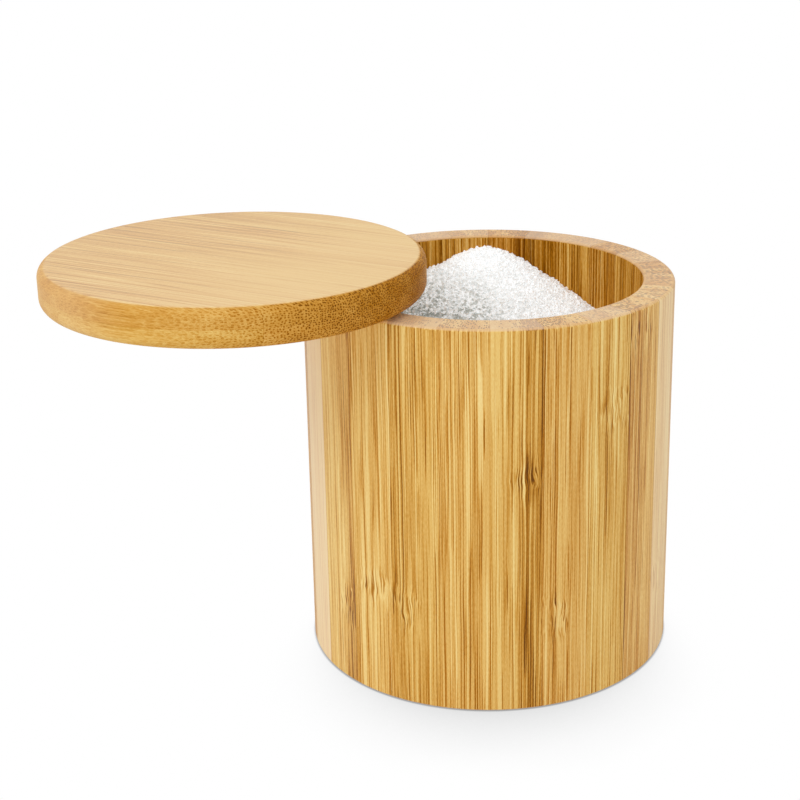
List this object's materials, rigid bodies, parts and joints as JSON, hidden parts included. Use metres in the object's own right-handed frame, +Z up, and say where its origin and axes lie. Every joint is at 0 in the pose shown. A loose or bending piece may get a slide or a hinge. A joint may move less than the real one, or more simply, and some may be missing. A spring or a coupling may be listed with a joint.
{
  "type": "salt box with swivel lid",
  "caption": "Round bamboo salt box glued up from upright staves, with a flat round lid that swivels sideways on a hidden pin in the rim.",
  "frame": {"origin": "centre of the flat underside", "axes": "+Z up along the axis of the box, -Y towards the front, -X towards the side the open lid hangs over"},
  "size_m": [0.1468, 0.1018, 0.1015],
  "materials": {
    "wall_bamboo": "sanded and oiled",
    "base_bamboo": "sanded and oiled",
    "lid_bamboo": "sanded and oiled",
    "pin_steel": "ground",
    "washer_nylon": "natural nylon",
    "magnet_nickel": "nickel plated",
    "coarse_salt": "loose coarse white salt"
  },
  "bodies": {
    "box": {"stave_01": "wall_bamboo", "stave_02": "wall_bamboo", "stave_03": "wall_bamboo", "stave_04": "wall_bamboo", "stave_05": "wall_bamboo", "stave_06": "wall_bamboo", "stave_07": "wall_bamboo", "stave_08": "wall_bamboo", "stave_09": "wall_bamboo", "stave_10": "wall_bamboo", "stave_11": "wall_bamboo", "stave_12": "wall_bamboo", "stave_13": "wall_bamboo", "stave_14": "wall_bamboo", "stave_15": "wall_bamboo", "stave_16": "wall_bamboo", "stave_17": "wall_bamboo", "stave_18": "wall_bamboo", "stave_19": "wall_bamboo", "stave_20": "wall_bamboo", "stave_21": "wall_bamboo", "stave_22": "wall_bamboo", "stave_23": "wall_bamboo", "stave_24": "wall_bamboo", "base_disc": "base_bamboo", "pivot_pin": "pin_steel", "pivot_washer": "washer_nylon", "rim_magnet": "magnet_nickel", "salt_heap": "coarse_salt"},
    "lid": {"lid_bottom_strip_1": "lid_bamboo", "lid_bottom_strip_2": "lid_bamboo", "lid_bottom_strip_3": "lid_bamboo", "lid_bottom_strip_4": "lid_bamboo", "lid_bottom_strip_5": "lid_bamboo", "lid_top_strip_1": "lid_bamboo", "lid_top_strip_2": "lid_bamboo", "lid_top_strip_3": "lid_bamboo", "lid_top_strip_4": "lid_bamboo", "lid_top_strip_5": "lid_bamboo", "lid_magnet": "magnet_nickel"}
  },
  "joints": [
    {"name": "lid_swivel", "type": "hinge", "parent": "box", "child": "lid", "pos_m": [-0.03532, 0.01878, 0.09255], "axis": [0, 0, 1], "range_deg": [-82.2, 97.8]}
  ]
}
